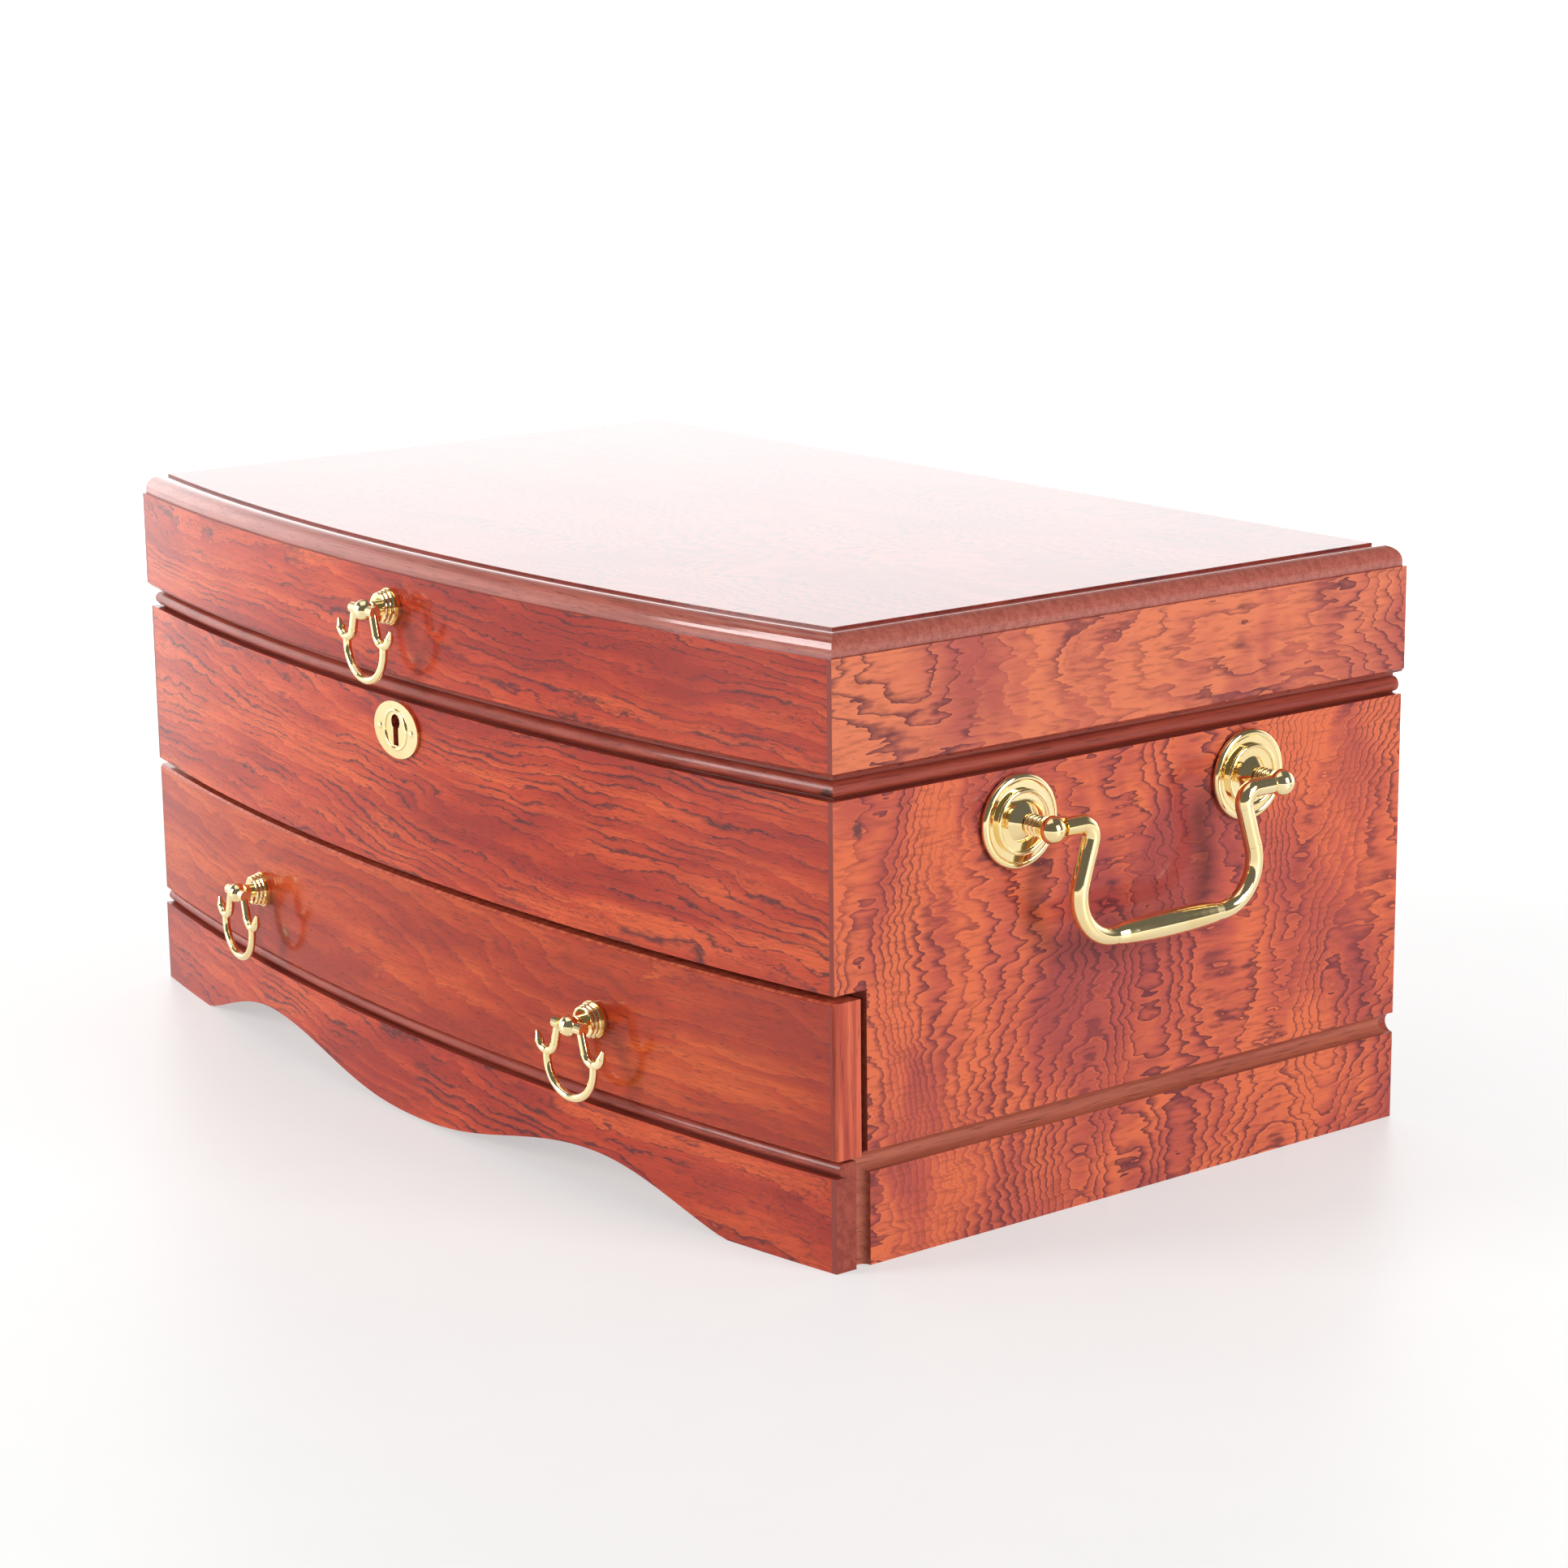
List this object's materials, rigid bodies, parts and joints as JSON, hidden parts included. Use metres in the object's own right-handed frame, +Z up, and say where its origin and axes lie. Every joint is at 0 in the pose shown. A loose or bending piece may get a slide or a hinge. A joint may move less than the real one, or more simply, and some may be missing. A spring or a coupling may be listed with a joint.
{
  "type": "jewellery chest with drawer",
  "caption": "Bow-fronted wooden jewellery chest: hinged mirrored lid over a lined compartment, a drawer below with ring pulls, brass carrying handles and a lock.",
  "frame": {"origin": "on the floor under the middle of the chest's bounding box", "axes": "+X to the right as seen from the front, +Y to the back where the lid is hinged, +Z up"},
  "size_m": [0.4394, 0.2684, 0.1884],
  "materials": {
    "rosewood": "high gloss lacquered veneer",
    "mahogany": "satin lacquer",
    "suede": "short dark blue suede pile",
    "gold": "polished",
    "mirror": "silvered glass"
  },
  "bodies": {
    "chest": {"left_side_panel": "rosewood", "right_side_panel": "rosewood", "front_panel": "rosewood", "back_panel": "mahogany", "base_apron": "rosewood", "bottom_panel": "mahogany", "drawer_stops": "mahogany", "compartment_floor": "mahogany", "lip_front": "mahogany", "lip_back": "mahogany", "lip_left": "mahogany", "lip_right": "mahogany", "compartment_lining": "suede", "long_divider": "suede", "front_dividers": "suede", "back_dividers": "suede", "ring_roll_1": "suede", "ring_roll_2": "suede", "ring_roll_3": "suede", "ring_roll_4": "suede", "ring_roll_5": "suede", "lock_case": "gold", "keyhole_plate": "gold", "keyhole_pins": "gold", "hinge_case_leaves": "gold", "hinge_pins": "gold", "hinge_case_screws": "gold", "left_rosettes": "gold", "right_rosettes": "gold", "left_handle_posts": "gold", "right_handle_posts": "gold"},
    "lid": {"lid_front_rail": "rosewood", "lid_back_rail": "mahogany", "lid_left_rail": "rosewood", "lid_right_rail": "rosewood", "lid_top_board": "mahogany", "lid_veneer": "rosewood", "lid_lining": "suede", "mirror": "mirror", "mirror_frame": "mahogany", "link_plate": "gold", "hinge_lid_leaves": "gold", "hinge_lid_screws": "gold", "lid_pull_plate": "gold", "lid_pull_post": "gold"},
    "lid_pull": {"lid_pull_ring": "gold"},
    "drawer": {"drawer_front": "rosewood", "drawer_left_side": "mahogany", "drawer_right_side": "mahogany", "drawer_back": "mahogany", "drawer_bottom": "mahogany", "drawer_lining": "suede", "drawer_pull_plates": "gold", "drawer_pull_posts": "gold"},
    "left_drawer_pull": {"left_pull_ring": "gold"},
    "right_drawer_pull": {"right_pull_ring": "gold"},
    "left_handle": {"left_handle": "gold"},
    "right_handle": {"right_handle": "gold"},
    "lock_bolt": {"lock_bolt": "gold"}
  },
  "joints": [
    {"name": "lid_hinge", "type": "hinge", "parent": "chest", "child": "lid", "pos_m": [0, 0.13026, 0.14705], "axis": [-1, 0, 0], "range_deg": [0, 97]},
    {"name": "drawer_slide", "type": "slide", "parent": "chest", "child": "drawer", "axis": [0, -1, 0], "range_m": [0, 0.15]},
    {"name": "bolt_slide", "type": "slide", "parent": "chest", "child": "lock_bolt", "axis": [1, 0, 0], "range_m": [0, 0.005]},
    {"name": "left_handle_swing", "type": "hinge", "parent": "chest", "child": "left_handle", "pos_m": [-0.2155, 0.01361, 0.1244], "axis": [0, 1, 0], "range_deg": [-16, 120]},
    {"name": "right_handle_swing", "type": "hinge", "parent": "chest", "child": "right_handle", "pos_m": [0.2155, 0.01361, 0.1244], "axis": [0, -1, 0], "range_deg": [-16, 120]},
    {"name": "lid_pull_swing", "type": "hinge", "parent": "lid", "child": "lid_pull", "pos_m": [0, -0.13084, 0.1704], "axis": [-1, 0, 0], "range_deg": [-14, 95]},
    {"name": "left_pull_swing", "type": "hinge", "parent": "drawer", "child": "left_drawer_pull", "pos_m": [-0.10125, -0.125, 0.0565], "axis": [-0.9954, 0.0954, 0], "range_deg": [-14, 95]},
    {"name": "right_pull_swing", "type": "hinge", "parent": "drawer", "child": "right_drawer_pull", "pos_m": [0.10125, -0.125, 0.0565], "axis": [-0.9954, -0.0954, 0], "range_deg": [-14, 95]}
  ]
}
